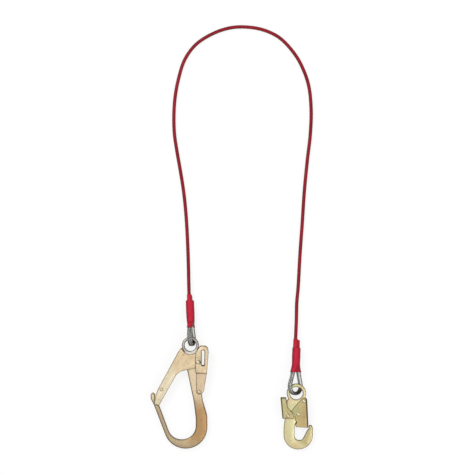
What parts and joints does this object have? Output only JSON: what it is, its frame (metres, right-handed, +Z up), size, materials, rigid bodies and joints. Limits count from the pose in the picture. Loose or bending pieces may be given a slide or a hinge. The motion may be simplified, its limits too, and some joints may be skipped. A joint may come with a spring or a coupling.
{
  "type": "shock absorbing lanyard",
  "caption": "Red coated wire rope lanyard with swaged thimble eyes in shrink sleeves, a large locking scaffold hook at one end and a small locking snap hook at the other.",
  "frame": {"origin": "bottom centre of the box of everything but the coated rope, on the surface the lanyard lies on", "axes": "+Z up from that surface, +Y from the hooks towards the rope's bight, +X from the large hook to the small hook"},
  "size_m": [0.3244, 0.8487, 0.0355],
  "materials": {
    "coat": "red extruded coat",
    "sleeve": "red heat shrink, semi gloss",
    "galvanised": "galvanised",
    "copper": "swaged copper alloy",
    "zinc": "yellow passivated zinc",
    "spring": "bright spring steel"
  },
  "bodies": {
    "lanyard": {"cable": "coat", "rebar_rope_eye": "galvanised", "rebar_thimble": "galvanised", "rebar_ferrule": "copper", "rebar_shrink_sleeve": "sleeve", "snap_rope_eye": "galvanised", "snap_thimble": "galvanised", "snap_ferrule": "copper", "snap_shrink_sleeve": "sleeve"},
    "rebar_hook": {"rebar_hook_body": "zinc", "rebar_gate_rivet": "zinc", "rebar_lever_rivet": "zinc", "rebar_gate_spring": "spring", "rebar_lever_spring": "spring"},
    "rebar_gate": {"rebar_gate": "zinc", "rebar_gate_tip_rivet": "zinc"},
    "rebar_lock": {"rebar_lock_lever": "zinc"},
    "snap_hook": {"snap_hook_body": "zinc", "snap_gate_rivet": "zinc", "snap_lock_rivet": "zinc", "snap_gate_spring": "spring", "snap_lock_spring": "spring"},
    "snap_gate": {"snap_gate": "zinc", "snap_lock_pin": "zinc"},
    "snap_lock": {"snap_lock_lever": "zinc"}
  },
  "joints": [
    {"name": "rebar_hook_swing", "type": "hinge", "parent": "lanyard", "child": "rebar_hook", "pos_m": [-0.07982, 0.0541, 0.01948], "axis": [0, -0.0454, 0.999], "range_deg": [-35, 35]},
    {"name": "rebar_gate_hinge", "type": "hinge", "parent": "rebar_hook", "child": "rebar_gate", "pos_m": [-0.06762, 0.01973, 0.01277], "axis": [0, -0.0454, 0.999], "range_deg": [0, 33], "stiffness_Nm_per_rad": 0.8, "springref_deg": -20.05},
    {"name": "rebar_lock_hinge", "type": "hinge", "parent": "rebar_hook", "child": "rebar_lock", "pos_m": [-0.06522, -0.03931, 0.01009], "axis": [0, -0.0454, 0.999], "range_deg": [0, 2.2], "stiffness_Nm_per_rad": 3, "springref_deg": -5.73},
    {"name": "snap_hook_swing", "type": "hinge", "parent": "lanyard", "child": "snap_hook", "pos_m": [0.12624, -0.04394, 0.0164], "axis": [0, -0.0767, 0.9971], "range_deg": [-24, 24]},
    {"name": "snap_gate_hinge", "type": "hinge", "parent": "snap_hook", "child": "snap_gate", "pos_m": [0.14408, -0.05786, 0.01214], "axis": [0, 0.0767, -0.9971], "range_deg": [0, 20], "stiffness_Nm_per_rad": 0.5, "springref_deg": -20.05},
    {"name": "snap_lock_hinge", "type": "hinge", "parent": "snap_hook", "child": "snap_lock", "pos_m": [0.11208, -0.08678, 0.00991], "axis": [0, 0.0767, -0.9971], "range_deg": [0, 5], "stiffness_Nm_per_rad": 0.8, "springref_deg": -11.46}
  ]
}
